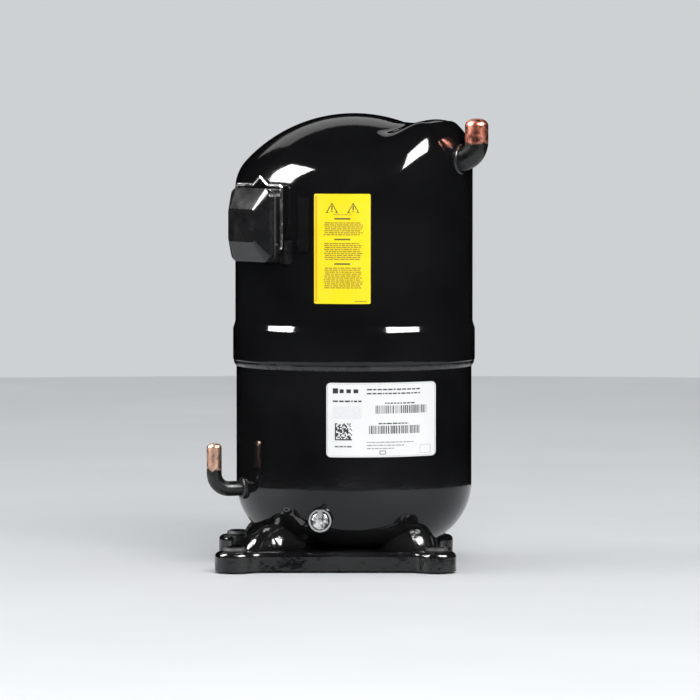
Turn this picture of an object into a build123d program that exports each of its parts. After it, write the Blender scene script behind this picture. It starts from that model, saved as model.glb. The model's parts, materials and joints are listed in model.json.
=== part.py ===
"""Hermetic scroll compressor: a two-part welded shell on a pressed base, with the motor,
crankshaft and scroll set inside.  Millimetres, +Z up.  The origin is the centre of the base
bolt pattern on the floor; the shell stands on its own axis at x = SHELL_X, and the front of
the compressor, with its labels, faces -Y."""
import os
from math import asin, atan2, cos, degrees, pi, radians, sin, sqrt

from build123d import *

# Base
BOLT_SPACING = 190.5
FOOT_R = 18.5
PLATE_TOP = 20.0
PLATE_T = 3.0
SKIRT_BOTTOM = 1.5
BOWL_OPENING_R = 55.0
ARCH_AT = 80.0
ARCH_HALF_W = 26.0
ARCH_RISE = 29.0
RIB_OFFSET = 11.0
RIB_W = 4.5
RIB_PROUD = 1.8
FOOT_SEAT_R = 14.5
GROMMET_HOLE_R = 8.5
SHELL_X = 17.5

# Shell
WALL = 3.2
LOWER_R = 112.3
UPPER_R = 113.3
BAND_R = LOWER_R + WALL
SEAM_Z = 196.0
BAND_TOP = 226.0
BAND_SLOPE_TOP = 233.0
LOWER_RIM = 222.0
KNUCKLE_R = 40.0
KNUCKLE_Z = 359.0
CROWN_R = 140.0
BOWL_KNUCKLE_R = 60.0
BOWL_KNUCKLE_Z = 79.0
BOWL_CROWN_R = 220.0

# Suction side: a rounded hump on the crown carries the stub
SUCTION_ANGLE = -27.0
HUMP_R = 31.0
HUMP_CENTRE_R = 82.2
HUMP_Z = 394.0
HUMP_BLEND = 20.0
SUCTION_TUBE_R = 11.1
SUCTION_BORE_R = 9.6
SUCTION_AXIS_Z = 388.0
SUCTION_UP_R = 130.0
SUCTION_TOP = 420.0
SUCTION_BEND = 17.5
SUCTION_PORT_R = 68.0

# Discharge side
DISCHARGE_ANGLE = 201.0
DISCHARGE_TUBE_R = 7.1
DISCHARGE_BORE_R = 6.4
DISCHARGE_AXIS_Z = 75.5
DISCHARGE_UP_R = 142.0
DISCHARGE_TOP = 115.0
DISCHARGE_BEND = 14.5

# Terminal box, built along local +X and turned to its place
BOX_ANGLE = 219.0
BOX_Z = 327.0
BOX_W = 59.5
BOX_H = 69.0
BOX_CORNER = 9.0
BOX_WALL = 2.5
FENCE_FRONT = 119.0
GASKET_T = 1.2
COVER_BACK = 120.5
COVER_SHOULDER = 126.0
COVER_FRONT = 137.0
FACE_W = 39.0
FACE_H = 31.0
PIN_CIRCLE_R = 9.0
HEADER_R = 17.0
BAIL_WIRE_R = 1.5
BAIL_X = 115.0
BAIL_PIVOT_Z = 305.5
BAIL_BAR_Z = 364.5
BAIL_HALF_W = 33.5
BOSS_OUT = 31.5
WING_OUT = 39.0

# Crankcase heater
HEATER_X = -32.0
HEATER_Z = 50.0
HEATER_R = 6.5

# Scroll set
ORBIT = 4.5
WRAP_T = 3.9
HALF_PITCH = 8.5
WRAP_START_R = 8.5
WRAP_HALF_TURNS = 5
THRUST_Z = 284.0
ORBIT_PLATE_R = 68.0
ORBIT_PLATE_T = 9.0
WRAP_H = 24.8
FIXED_FLOOR_Z = 318.0
FIXED_TOP_Z = 332.0
FIXED_R = 90.0
POCKET_R = 58.0
RUN = 0.05

# Shaft, bearings and motor
SHAFT_R = 15.0
CRANK_PIN_R = 10.0
HUB_R = 17.0
BUSH_T = 2.0
FRAME_BOTTOM = 240.0
FRAME_TOP = 262.0
STATOR_R = 92.0
STATOR_BORE_R = 50.0
ROTOR_R = 49.6
STATOR_Z = (110.0, 200.0)
SLOTS = 24
STATOR_BOLT_R = 85.0
STATOR_BOLT_START = 15.0
SCROLL_BOLT_R = 82.0
SCROLL_BOLT_START = 3.0
EARTH_ANGLE = 245.6
OLDHAM_R = 54.0
KEY = 10.0
CAGE_BOTTOM = 299.0
SEAT_Z = 328.0


def ring(outer, inner, z0, z1):
    """Flat-ended tube about Z."""
    height = z1 - z0
    body = Cylinder(outer, height) - Cylinder(inner, height + 1)
    return Pos(0, 0, (z0 + z1) / 2) * body


def disc(radius, z0, z1, x=0.0, y=0.0):
    return Pos(x, y, (z0 + z1) / 2) * Cylinder(radius, z1 - z0)


def block(x0, x1, y0, y1, z0, z1):
    centre = Pos((x0 + x1) / 2, (y0 + y1) / 2, (z0 + z1) / 2)
    return centre * Box(x1 - x0, y1 - y0, z1 - z0)


def rod_x(radius, x0, x1, y=0.0, z=0.0):
    """Round bar along X."""
    return Pos((x0 + x1) / 2, y, z) * Rot(0, 90, 0) * Cylinder(radius, x1 - x0)


def rod_y(radius, y0, y1, x=0.0, z=0.0):
    """Round bar along Y."""
    return Pos(x, (y0 + y1) / 2, z) * Rot(90, 0, 0) * Cylinder(radius, y1 - y0)


def around(count, start=0.0):
    return [Rot(0, 0, start + i * 360.0 / count) for i in range(count)]


def bent_tube(points, radii, outer, inner=0.0):
    """Tube swept along straight runs joined by arcs."""
    path = FilletPolyline(*points, radius=radii)
    start = Plane(origin=path @ 0, z_dir=path % 0)
    section = Circle(outer) if inner == 0 else Circle(outer) - Circle(inner)
    return sweep(start * section, path=path)


def hex_bolt(head_r, head_h, shank_r, length):
    """Hexagon bolt pointing down from z = 0."""
    head = extrude(RegularPolygon(head_r, 6), head_h)
    return fillet(head.faces().sort_by(Axis.Z)[-1].edges(), head_h * 0.15) + disc(shank_r, -length, 0)


# --- shell -----------------------------------------------------------------------------------

def crown_profile(offset, foot_z):
    """Half section of the upper shell's solid, set in by offset, down to foot_z."""
    crown_z = KNUCKLE_Z - sqrt((CROWN_R - KNUCKLE_R) ** 2 - (UPPER_R - KNUCKLE_R) ** 2)
    lean = asin((UPPER_R - KNUCKLE_R) / (CROWN_R - KNUCKLE_R))
    crown = CROWN_R - offset
    knuckle = KNUCKLE_R - offset
    top = (0, crown_z + crown)
    meet = (crown * sin(lean), crown_z + crown * cos(lean))
    side = (UPPER_R - offset, KNUCKLE_Z)
    centre = (UPPER_R - KNUCKLE_R, KNUCKLE_Z)
    half = radians(90 - degrees(lean)) / 2
    mid_knuckle = (centre[0] + knuckle * cos(half), centre[1] + knuckle * sin(half))
    mid_crown = (crown * sin(lean / 2), crown_z + crown * cos(lean / 2))
    with BuildSketch(Plane.XZ) as section:
        with BuildLine():
            ThreePointArc(top, mid_crown, meet)
            ThreePointArc(meet, mid_knuckle, side)
            Polyline(side, (UPPER_R - offset, foot_z), (0, foot_z), top)
        make_face()
    return revolve(section.sketch, Axis.Z)


def bowl_profile(offset, top_z):
    """Solid of the lower shell, set in by offset, up to top_z."""
    centre_r = LOWER_R - BOWL_KNUCKLE_R
    rise = sqrt((BOWL_CROWN_R - BOWL_KNUCKLE_R) ** 2 - centre_r ** 2)
    crown_z = BOWL_KNUCKLE_Z + rise
    lean = asin(centre_r / (BOWL_CROWN_R - BOWL_KNUCKLE_R))
    crown = BOWL_CROWN_R - offset
    knuckle = BOWL_KNUCKLE_R - offset
    bottom = (0, crown_z - crown)
    meet = (crown * sin(lean), crown_z - crown * cos(lean))
    side = (LOWER_R - offset, BOWL_KNUCKLE_Z)
    half = (pi / 2 - lean) / 2
    mid_knuckle = (centre_r + knuckle * cos(half), BOWL_KNUCKLE_Z - knuckle * sin(half))
    mid_crown = (crown * sin(lean / 2), crown_z - crown * cos(lean / 2))
    with BuildSketch(Plane.XZ) as section:
        with BuildLine():
            ThreePointArc(bottom, mid_crown, meet)
            ThreePointArc(meet, mid_knuckle, side)
            Polyline(side, (LOWER_R - offset, top_z), (0, top_z), bottom)
        make_face()
    return revolve(section.sketch, Axis.Z)


def hump(offset):
    """Rounded post under the hump, standing inside the shell."""
    radius = HUMP_R - offset
    post = disc(radius, HUMP_Z - 45, HUMP_Z, HUMP_CENTRE_R)
    return Rot(0, 0, SUCTION_ANGLE) * (post + Pos(HUMP_CENTRE_R, 0, HUMP_Z) * Sphere(radius))


def band_outline():
    """Flared skirt that slips over the lower shell."""
    points = [
        (LOWER_R, SEAM_Z),
        (BAND_R - 0.8, SEAM_Z),
        (BAND_R, SEAM_Z + 1.2),
        (BAND_R, BAND_TOP),
        (UPPER_R, BAND_SLOPE_TOP),
        (UPPER_R - WALL, BAND_SLOPE_TOP),
        (UPPER_R - WALL, BAND_TOP - 1),
        (LOWER_R, BAND_TOP - 3),
    ]
    return revolve(Plane.XZ * make_face(Polyline(*points, close=True)), Axis.Z)


def suction_hole():
    return Rot(0, 0, SUCTION_ANGLE) * rod_x(SUCTION_TUBE_R, 90, 130, 0, SUCTION_AXIS_Z)


def upper_shell():
    outside = crown_profile(0, BAND_SLOPE_TOP) + hump(0)
    seams = [e for e in outside.edges() if e.center().Z > KNUCKLE_Z and e.geom_type == GeomType.BSPLINE]
    outside = fillet(seams, HUMP_BLEND)
    inside = crown_profile(WALL, BAND_SLOPE_TOP - 1) + hump(WALL)
    header = Rot(0, 0, BOX_ANGLE) * rod_x(HEADER_R, 90, 130, 0, BOX_Z)
    return outside + band_outline() - inside - suction_hole() - header


def lower_shell():
    wall = bowl_profile(0, LOWER_RIM) - bowl_profile(WALL, LOWER_RIM + 1)
    hole = Rot(0, 0, DISCHARGE_ANGLE) * rod_x(DISCHARGE_TUBE_R, 90, 130, 0, DISCHARGE_AXIS_Z)
    return wall - hole - rod_y(HEATER_R + 2.5, -130, -60, HEATER_X, HEATER_Z)


def seam_weld():
    """Fillet weld under the lip of the band."""
    with BuildSketch(Plane.XZ) as section:
        with BuildLine():
            Polyline((BAND_R - 0.8, SEAM_Z), (LOWER_R, SEAM_Z), (LOWER_R, SEAM_Z - 5.5))
            ThreePointArc((LOWER_R, SEAM_Z - 5.5), (LOWER_R + 2.1, SEAM_Z - 2.9), (BAND_R - 0.8, SEAM_Z))
        make_face()
    return revolve(section.sketch, Axis.Z)


# --- base ------------------------------------------------------------------------------------

def foot_places():
    half = BOLT_SPACING / 2
    return [Pos(sx * half - SHELL_X, sy * half, 0) for sx in (-1, 1) for sy in (-1, 1)]


def plate_outline(inset):
    """Four-lobed plan of the base, set in by inset."""
    half = BOLT_SPACING / 2
    waist = half + FOOT_R - 13
    sketch = Rectangle(2 * (waist - inset), 2 * (waist - inset))
    for sx in (-1, 1):
        for sy in (-1, 1):
            sketch += Pos(sx * half, sy * half) * Circle(FOOT_R - inset)
    corners = [v for v in sketch.vertices() if abs(abs(v.X) - abs(v.Y)) > 8]
    sketch = fillet(corners, 14)
    return Pos(-SHELL_X, 0, 0) * sketch


def foot_spots():
    """Turn about the shell axis, and distance from it, of each foot."""
    half = BOLT_SPACING / 2
    spots = []
    for sx in (-1, 1):
        for sy in (-1, 1):
            x = sx * half - SHELL_X
            y = sy * half
            spots.append((degrees(atan2(y, x)), sqrt(x * x + y * y)))
    return spots


def arch(reach, offset):
    """Pressed-up half egg from under the bowl toward a foot, cut back round the foot's seat."""
    length = reach - FOOT_SEAT_R - ARCH_AT + 1
    size = (length - offset, ARCH_HALF_W - offset, ARCH_RISE - offset)
    egg = Pos(ARCH_AT, 0, PLATE_TOP - PLATE_T) * scale(Sphere(1), by=size)
    return egg - disc(FOOT_SEAT_R + offset, PLATE_TOP - offset, 80, reach)


def ribs(reach):
    """Two stiffening ribs pressed along each arch."""
    crest = arch(reach, -RIB_PROUD)
    bars = Part()
    for side in (-1, 1):
        y = side * RIB_OFFSET
        bars += block(40, reach, y - RIB_W / 2, y + RIB_W / 2, PLATE_TOP - PLATE_T, 80)
    return crest & bars


def base_plate():
    outside = extrude(plate_outline(0), PLATE_TOP - SKIRT_BOTTOM)
    outside = Pos(0, 0, SKIRT_BOTTOM) * outside
    outside = fillet(outside.faces().sort_by(Axis.Z)[-1].edges(), 5)
    depth = PLATE_TOP - SKIRT_BOTTOM - PLATE_T + 1
    inside = Pos(0, 0, SKIRT_BOTTOM - 1) * extrude(plate_outline(PLATE_T), depth)
    floor = block(-200, 200, -200, 200, -60, SKIRT_BOTTOM)
    below = block(-200, 200, -200, 200, -60, PLATE_TOP - PLATE_T)
    for angle, reach in foot_spots():
        outside += Rot(0, 0, angle) * (arch(reach, 0) + ribs(reach)) - below
    plate = outside - inside
    for angle, reach in foot_spots():
        plate -= Rot(0, 0, angle) * arch(reach, PLATE_T)
    plate -= disc(BOWL_OPENING_R, -20, 80)
    for place in foot_places():
        plate -= place * disc(GROMMET_HOLE_R, 0, 30)
    plate -= floor
    plate -= bowl_profile(0, LOWER_RIM)
    return plate.solids().sort_by(SortBy.VOLUME)[-1]


def foot_grommets():
    """Rubber isolators, gripping the plate in a groove."""
    with BuildSketch(Plane.XZ) as section:
        with BuildLine():
            Polyline(
                (5.6, 0), (11.5, 0), (12.5, 1), (12.5, PLATE_TOP - PLATE_T - 1),
                (11.5, PLATE_TOP - PLATE_T), (GROMMET_HOLE_R, PLATE_TOP - PLATE_T),
                (GROMMET_HOLE_R, PLATE_TOP), (10.5, PLATE_TOP), (11, PLATE_TOP + 1),
                (10, PLATE_TOP + 3.5), (5.6, PLATE_TOP + 3.5), (5.6, 0),
            )
        make_face()
    grommet = revolve(section.sketch, Axis.Z)
    return [place * grommet for place in foot_places()]


def foot_sleeves():
    sleeve = ring(5.6, 4.4, 0, PLATE_TOP + 4.5)
    flange = ring(8.0, 4.4, PLATE_TOP + 3.5, PLATE_TOP + 4.5)
    return [place * (sleeve + flange) for place in foot_places()]


# --- tube stubs ------------------------------------------------------------------------------

def suction_stub():
    points = [(95, 0, SUCTION_AXIS_Z), (SUCTION_UP_R, 0, SUCTION_AXIS_Z), (SUCTION_UP_R, 0, SUCTION_TOP)]
    tube = bent_tube(points, SUCTION_BEND, SUCTION_TUBE_R, SUCTION_BORE_R)
    return Rot(0, 0, SUCTION_ANGLE) * tube


def suction_weld_ring():
    """Steel collar brazed where the suction stub leaves the hump."""
    body = rod_x(SUCTION_TUBE_R + 3.4, 104, 115.5, 0, SUCTION_AXIS_Z)
    body = fillet(body.faces().sort_by(Axis.X)[-1].edges(), 2.2)
    body -= rod_x(SUCTION_TUBE_R, 90, 130, 0, SUCTION_AXIS_Z)
    body = Rot(0, 0, SUCTION_ANGLE) * body
    return largest(body - (crown_profile(0, BAND_SLOPE_TOP) + hump(0)))


def discharge_stub():
    points = [
        (100, 0, DISCHARGE_AXIS_Z),
        (DISCHARGE_UP_R, 0, DISCHARGE_AXIS_Z),
        (DISCHARGE_UP_R, 0, DISCHARGE_TOP),
    ]
    tube = bent_tube(points, DISCHARGE_BEND, DISCHARGE_TUBE_R, DISCHARGE_BORE_R)
    return Rot(0, 0, DISCHARGE_ANGLE) * tube


def discharge_weld_ring():
    body = rod_x(DISCHARGE_TUBE_R + 3.2, 104, 115.5, 0, DISCHARGE_AXIS_Z)
    body = fillet(body.faces().sort_by(Axis.X)[-1].edges(), 2)
    body -= rod_x(DISCHARGE_TUBE_R, 90, 130, 0, DISCHARGE_AXIS_Z)
    return largest(Rot(0, 0, DISCHARGE_ANGLE) * body - bowl_profile(0, LOWER_RIM))


def largest(shape):
    return shape.solids().sort_by(SortBy.VOLUME)[-1]


# --- terminal box ----------------------------------------------------------------------------

def to_box(shape):
    return Rot(0, 0, BOX_ANGLE) * shape


def box_prism(width, height, x0, x1, corner):
    """Rounded rectangle along local X."""
    plan = RectangleRounded(width, height, corner)
    return extrude(Plane(origin=(x0, 0, BOX_Z), x_dir=(0, 1, 0), z_dir=(1, 0, 0)) * plan, x1 - x0)


def terminal_box():
    """Fence round the terminals, with a boss each side for the bail and a low wing beside it."""
    wall = box_prism(BOX_W, BOX_H, 85, FENCE_FRONT, BOX_CORNER)
    for side in (-1, 1):
        near, far = sorted((side * (BOX_W / 2 - 1), side * BOSS_OUT))
        boss = rod_y(5, near, far, BAIL_X, BAIL_PIVOT_Z)
        near, far = sorted((side * (BOX_W / 2 - 2), side * WING_OUT))
        wing = block(98, 112.5, near, far, 291, 313)
        wall += boss + fillet(wing.edges().filter_by(Axis.X), 1.5)
    wall -= block(FENCE_FRONT, 150, -60, 60, 250, 400)
    wall -= box_prism(BOX_W - 2 * BOX_WALL, BOX_H - 2 * BOX_WALL, 80, FENCE_FRONT + 1, BOX_CORNER - BOX_WALL)
    wall -= rod_y(BAIL_WIRE_R + 0.08, -60, 60, BAIL_X, BAIL_PIVOT_Z)
    outside = crown_profile(0, BAND_SLOPE_TOP) + hump(0)
    return largest(to_box(wall) - outside)


def terminal_gasket():
    body = box_prism(BOX_W, BOX_H, FENCE_FRONT, FENCE_FRONT + GASKET_T, BOX_CORNER)
    return to_box(body - box_prism(BOX_W - 12, BOX_H - 12, FENCE_FRONT - 1, FENCE_FRONT + 3, BOX_CORNER - 6))


def box_face(width, height, corner, x):
    plane = Plane(origin=(x, 0, BOX_Z), x_dir=(0, 1, 0), z_dir=(1, 0, 0))
    return plane * RectangleRounded(width, height, corner)


def cover_shape(offset):
    """Bevelled moulding: straight sides, then a frustum to the small front face."""
    width = BOX_W - 2 * offset
    height = BOX_H - 2 * offset
    shoulder = COVER_SHOULDER - offset * 0.4
    corner = BOX_CORNER - offset
    sides = box_prism(width, height, COVER_BACK - (1 if offset else 0), shoulder, corner)
    wide = box_face(width, height, corner, shoulder)
    small = box_face(FACE_W - offset, FACE_H - offset, 3, COVER_FRONT - offset)
    return sides + loft([wide, small])


def terminal_cover():
    body = cover_shape(0) - cover_shape(BOX_WALL)
    bottom = BOX_Z - BOX_H / 2
    notch = block(COVER_BACK - 2, COVER_SHOULDER - 1, 2, 16, bottom - 2, bottom + 4)
    return to_box(body - notch)


def pin_places():
    spots = []
    for angle in (90, 210, 330):
        spots.append((PIN_CIRCLE_R * cos(radians(angle)), BOX_Z + PIN_CIRCLE_R * sin(radians(angle))))
    return spots


def terminal_header():
    """Steel cup of the glass-sealed feed-through."""
    body = rod_x(HEADER_R, 104, 110, 0, BOX_Z)
    body = fillet(body.faces().sort_by(Axis.X)[-1].edges(), 1.5)
    for y, z in pin_places():
        body -= rod_x(4, 100, 115, y, z)
    return to_box(body)


def terminal_seals():
    seals = []
    for y, z in pin_places():
        seals.append(to_box(rod_x(4, 104, 110.6, y, z) - rod_x(1.6, 100, 115, y, z)))
    return seals


def terminal_pins():
    pins = []
    for y, z in pin_places():
        tab = block(114, 123, y - 0.5, y + 0.5, z - 3.1, z + 3.1)
        tab = chamfer(tab.edges().filter_by(Axis.Y).group_by(Axis.X)[-1], 1.2)
        pins.append(to_box(rod_x(1.6, 94, 116, y, z) + tab))
    return pins


def lead_plug():
    """Moulded plug that the motor leads end in, pushed on the inner ends of the pins."""
    body = fillet(box_prism(32, 30, 90, 101, 5).faces().sort_by(Axis.X)[0].edges(), 2)
    for y, z in pin_places():
        body -= rod_x(1.6, 93, 103, y, z)
    return to_box(body)


def motor_leads():
    """Three insulated leads from the plug, through the frame, to the upper end turns."""
    leads = []
    for y in (-8, 0, 8):
        points = [
            (98, y, BOX_Z - 15),
            (98, y, FRAME_TOP + 10),
            (95, y, FRAME_BOTTOM - 2),
            (82, y, STATOR_Z[1] + 26),
            (68, y, STATOR_Z[1] + 18.5),
        ]
        leads.append(to_box(bent_tube(points, 18, 1.9)))
    return leads


def wire_bail():
    """Spring wire that swings over the cover, with a finger kink."""
    kink = 2.0
    points = [
        (BAIL_X, BOX_W / 2 - BOX_WALL - 0.5, BAIL_PIVOT_Z),
        (BAIL_X, BAIL_HALF_W, BAIL_PIVOT_Z),
        (BAIL_X, BAIL_HALF_W, BAIL_BAR_Z),
        (BAIL_X, kink + 11, BAIL_BAR_Z),
        (BAIL_X, kink, BAIL_BAR_Z + 8),
        (BAIL_X, kink - 11, BAIL_BAR_Z),
        (BAIL_X, -BAIL_HALF_W, BAIL_BAR_Z),
        (BAIL_X, -BAIL_HALF_W, BAIL_PIVOT_Z),
        (BAIL_X, BOX_WALL + 0.5 - BOX_W / 2, BAIL_PIVOT_Z),
    ]
    return to_box(bent_tube(points, 1.9, BAIL_WIRE_R))


def earth_tab():
    """Small welded bracket beside the box, tapped for the earth screw."""
    tab = block(UPPER_R - 3, UPPER_R + 3, -5.5, 5.5, 303, 354)
    tab = fillet(tab.edges().filter_by(Axis.X), 2.5)
    tab -= rod_x(2.5, 100, 130, 0, 311)
    return largest(Rot(0, 0, EARTH_ANGLE) * tab - crown_profile(0, BAND_SLOPE_TOP))


def earth_screw():
    top = UPPER_R + 3
    washer = rod_x(5.5, top, top + 1.2, 0, 311)
    head = Pos(top + 1.2, 0, 311) * Rot(0, 90, 0) * extrude(RegularPolygon(4.6, 6), 3.6)
    shank = rod_x(2.5, UPPER_R + 0.5, top, 0, 311)
    return Rot(0, 0, EARTH_ANGLE) * (washer + head + shank)


# --- crankcase heater and labels -------------------------------------------------------------

def heater_well():
    """Blind tube welded through the bowl; the sump oil warms round it."""
    body = rod_y(HEATER_R + 2.5, -109, -34, HEATER_X, HEATER_Z)
    body += rod_y(HEATER_R + 5, -106, -92, HEATER_X, HEATER_Z) - bowl_profile(0, LOWER_RIM)
    return largest(body - rod_y(HEATER_R + 0.1, -115, -38, HEATER_X, HEATER_Z))


def crankcase_heater():
    stick = rod_y(HEATER_R, -110, -40, HEATER_X, HEATER_Z)
    cap = rod_y(HEATER_R + 1.4, -113.5, -110, HEATER_X, HEATER_Z)
    cap = fillet(cap.edges().group_by(Axis.Y)[0], 1.4)
    return stick + cap


def heater_clip():
    """Round retaining clip on the mouth of the well."""
    outer = HEATER_R + 4.2
    clip = rod_y(outer, -108.4, -107.2, HEATER_X, HEATER_Z)
    clip -= rod_y(HEATER_R + 2.5, -115, -100, HEATER_X, HEATER_Z)
    tongue = block(HEATER_X - 2.2, HEATER_X + 2.2, -115.2, -107.2, HEATER_Z + outer - 1.4, HEATER_Z + outer)
    hook = block(HEATER_X - 2.2, HEATER_X + 2.2, -115.2, -114, HEATER_Z + 3, HEATER_Z + outer)
    return clip + tongue + hook


def label(radius, x0, x1, z0, z1, corner):
    """Thin sheet on the front of the shell."""
    outline = Pos((x0 + x1) / 2, (z0 + z1) / 2) * RectangleRounded(x1 - x0, z1 - z0, corner)
    cutter = extrude(Plane.XZ * outline, radius + 5)
    return ring(radius + 0.25, radius, z0 - 5, z1 + 5) & cutter


# --- motor and shaft -------------------------------------------------------------------------

def stator_bolt_places():
    return around(4, STATOR_BOLT_START)


def stator_core():
    plan = Circle(STATOR_R) - Circle(STATOR_BORE_R)
    slot = Pos(64, 0) * Rectangle(20, 6.5) + Pos(52, 0) * Rectangle(6, 2.6)
    slot = slot - Circle(STATOR_BORE_R - 1)
    for turn in around(SLOTS):
        plan -= turn * slot
    for turn in stator_bolt_places():
        plan -= turn * Pos(STATOR_BOLT_R, 0) * Circle(4.2)
    for turn in around(4, STATOR_BOLT_START + 45):
        plan -= turn * Pos(STATOR_R, 0) * Rectangle(5, 26)
    return Pos(0, 0, STATOR_Z[0]) * extrude(plan, STATOR_Z[1] - STATOR_Z[0])


def stator_windings():
    low = ring(76, 55, STATOR_Z[0] - 18, STATOR_Z[0])
    high = ring(76, 55, STATOR_Z[1], STATOR_Z[1] + 18)
    low = fillet(low.faces().sort_by(Axis.Z)[0].edges(), 6)
    high = fillet(high.faces().sort_by(Axis.Z)[-1].edges(), 6)
    coils = low + high
    bar = block(55.5, 73, -3, 3, STATOR_Z[0], STATOR_Z[1])
    for turn in around(SLOTS):
        coils += turn * bar
    return coils


def thermal_protector():
    body = disc(9, STATOR_Z[1] + 18, STATOR_Z[1] + 25, 65)
    return Rot(0, 0, 140) * fillet(body.faces().sort_by(Axis.Z)[-1].edges(), 1.5)


def stator_bolts():
    bolt = Pos(STATOR_BOLT_R, 0, 82) * Rot(180, 0, 0) * hex_bolt(8, 6, 4, 0.5)
    shank = disc(4, 82, FRAME_BOTTOM + 14, STATOR_BOLT_R)
    return [turn * (bolt + shank) for turn in stator_bolt_places()]


def frame_spacers():
    """Tubes that hold the stator clear of the main frame and the lower bracket."""
    tubes = []
    for turn in stator_bolt_places():
        tubes.append(turn * Pos(STATOR_BOLT_R, 0, 0) * ring(6.5, 4.2, STATOR_Z[1], FRAME_BOTTOM))
        tubes.append(turn * Pos(STATOR_BOLT_R, 0, 0) * ring(6.5, 4.2, 90, STATOR_Z[0]))
    return tubes


def lower_bearing_bracket():
    plan = Circle(26) - Circle(SHAFT_R - 3 + BUSH_T)
    arm = Pos(STATOR_BOLT_R / 2 + 8, 0) * Rectangle(STATOR_BOLT_R - 16, 15)
    for turn in stator_bolt_places():
        plan += turn * (arm + Pos(STATOR_BOLT_R, 0) * Circle(10))
    for turn in stator_bolt_places():
        plan -= turn * Pos(STATOR_BOLT_R, 0) * Circle(4.2)
    plan -= Circle(SHAFT_R - 3 + BUSH_T)
    spider = Pos(0, 0, 82) * extrude(plan, 8)
    return spider + ring(20, SHAFT_R - 3 + BUSH_T, 68, 82)


def bush(shaft_r, z0, z1):
    return ring(shaft_r + BUSH_T, shaft_r + RUN, z0, z1)


def crankshaft():
    tail = disc(SHAFT_R - 3, 58, 92)
    body = disc(SHAFT_R, 92, FRAME_TOP)
    pin = disc(CRANK_PIN_R, FRAME_TOP, THRUST_Z - 2, 0, ORBIT)
    shaft = tail + body + pin
    return shaft - disc(3.2, 50, FRAME_TOP + 30, 0, 2.0)


def rotor_core():
    core = ring(ROTOR_R, SHAFT_R, STATOR_Z[0], STATOR_Z[1])
    for turn in around(34):
        core -= turn * disc(2.1, STATOR_Z[0] - 1, STATOR_Z[1] + 1, ROTOR_R - 4)
    return core


def rotor_end_rings():
    """Cast cage: two end rings, the bars between them and small fan blades."""
    rings = [ring(46, 31, STATOR_Z[0] - 6, STATOR_Z[0]), ring(46, 31, STATOR_Z[1], STATOR_Z[1] + 6)]
    cage = rings[0] + rings[1]
    for turn in around(34):
        cage += turn * disc(2.1, STATOR_Z[0] - 0.5, STATOR_Z[1] + 0.5, ROTOR_R - 4) & ring(
            ROTOR_R - 1.5, 30, STATOR_Z[0] - 6, STATOR_Z[1] + 6)
    return cage


def counterweight(z0, z1, heavy_side):
    body = ring(44, 27, z0, z1) & block(-60, 60, min(0, heavy_side * 60), max(0, heavy_side * 60), z0, z1)
    return fillet(body.edges().filter_by(Axis.Z), 3)


def oil_pickup():
    cup = ring(SHAFT_R - 3 + 2, SHAFT_R - 3, 52, 64)
    cone = Pos(0, 0, 38) * (Cone(6, SHAFT_R - 1, 28) - Cone(4, SHAFT_R - 3, 28.1))
    return cup + cone


# --- scroll set ------------------------------------------------------------------------------

def wrap(flip, z0, height):
    """Spiral wall: half circles about two centres, growing by the half pitch."""
    plan = Pos(HALF_PITCH / 2 - WRAP_START_R, 0) * Circle(WRAP_T / 2)
    for k in range(WRAP_HALF_TURNS):
        mid = WRAP_START_R + HALF_PITCH * k
        side = 1 if k % 2 == 0 else -1
        strip = Circle(mid + WRAP_T / 2) - Circle(mid - WRAP_T / 2)
        plan += Pos(side * HALF_PITCH / 2, 0) * (strip & Pos(0, side * 100) * Rectangle(220, 200))
        outer_end = side * (HALF_PITCH / 2 + mid)
    plan += Pos(outer_end, 0) * Circle(WRAP_T / 2)
    return Pos(0, 0, z0) * Rot(0, 0, 180 if flip else 0) * extrude(plan, height)


def fixed_scroll():
    body = disc(FIXED_R, THRUST_Z, FIXED_TOP_Z)
    body = fillet(body.edges().group_by(Axis.Z)[-1], 4)
    body -= disc(ORBIT_PLATE_R + ORBIT + 1, THRUST_Z - 1, THRUST_Z + ORBIT_PLATE_T + 0.3)
    body -= disc(POCKET_R, THRUST_Z, FIXED_FLOOR_Z)
    port = Rot(0, 0, SUCTION_ANGLE)
    body -= port * disc(12.5, THRUST_Z, FIXED_FLOOR_Z, SUCTION_PORT_R)
    body -= port * block(50, SUCTION_PORT_R, -9, 9, THRUST_Z, FIXED_FLOOR_Z)
    body -= port * disc(10.6, FIXED_FLOOR_Z - 1, FIXED_TOP_Z + 1, SUCTION_PORT_R)
    boss = port * disc(17, FIXED_TOP_Z - 1, FIXED_TOP_Z + 8, SUCTION_PORT_R)
    body += boss - port * disc(10.6, FIXED_TOP_Z - 3, FIXED_TOP_Z + 10, SUCTION_PORT_R)
    body -= port * disc(12.6, FIXED_TOP_Z - 2, FIXED_TOP_Z + 10, SUCTION_PORT_R)
    body += wrap(False, THRUST_Z + ORBIT_PLATE_T + 0.3, FIXED_FLOOR_Z - THRUST_Z - ORBIT_PLATE_T)
    body -= disc(5, FIXED_FLOOR_Z - 1, FIXED_TOP_Z + 1)
    for turn in around(6, SCROLL_BOLT_START):
        body -= turn * disc(4.2, THRUST_Z - 1, FIXED_TOP_Z + 20, SCROLL_BOLT_R)
    return body


def scroll_bolts():
    bolt = hex_bolt(7, 5, 3.95, FIXED_TOP_Z - THRUST_Z + 14)
    return [turn * Pos(SCROLL_BOLT_R, 0, FIXED_TOP_Z) * bolt for turn in around(6, SCROLL_BOLT_START)]


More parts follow.
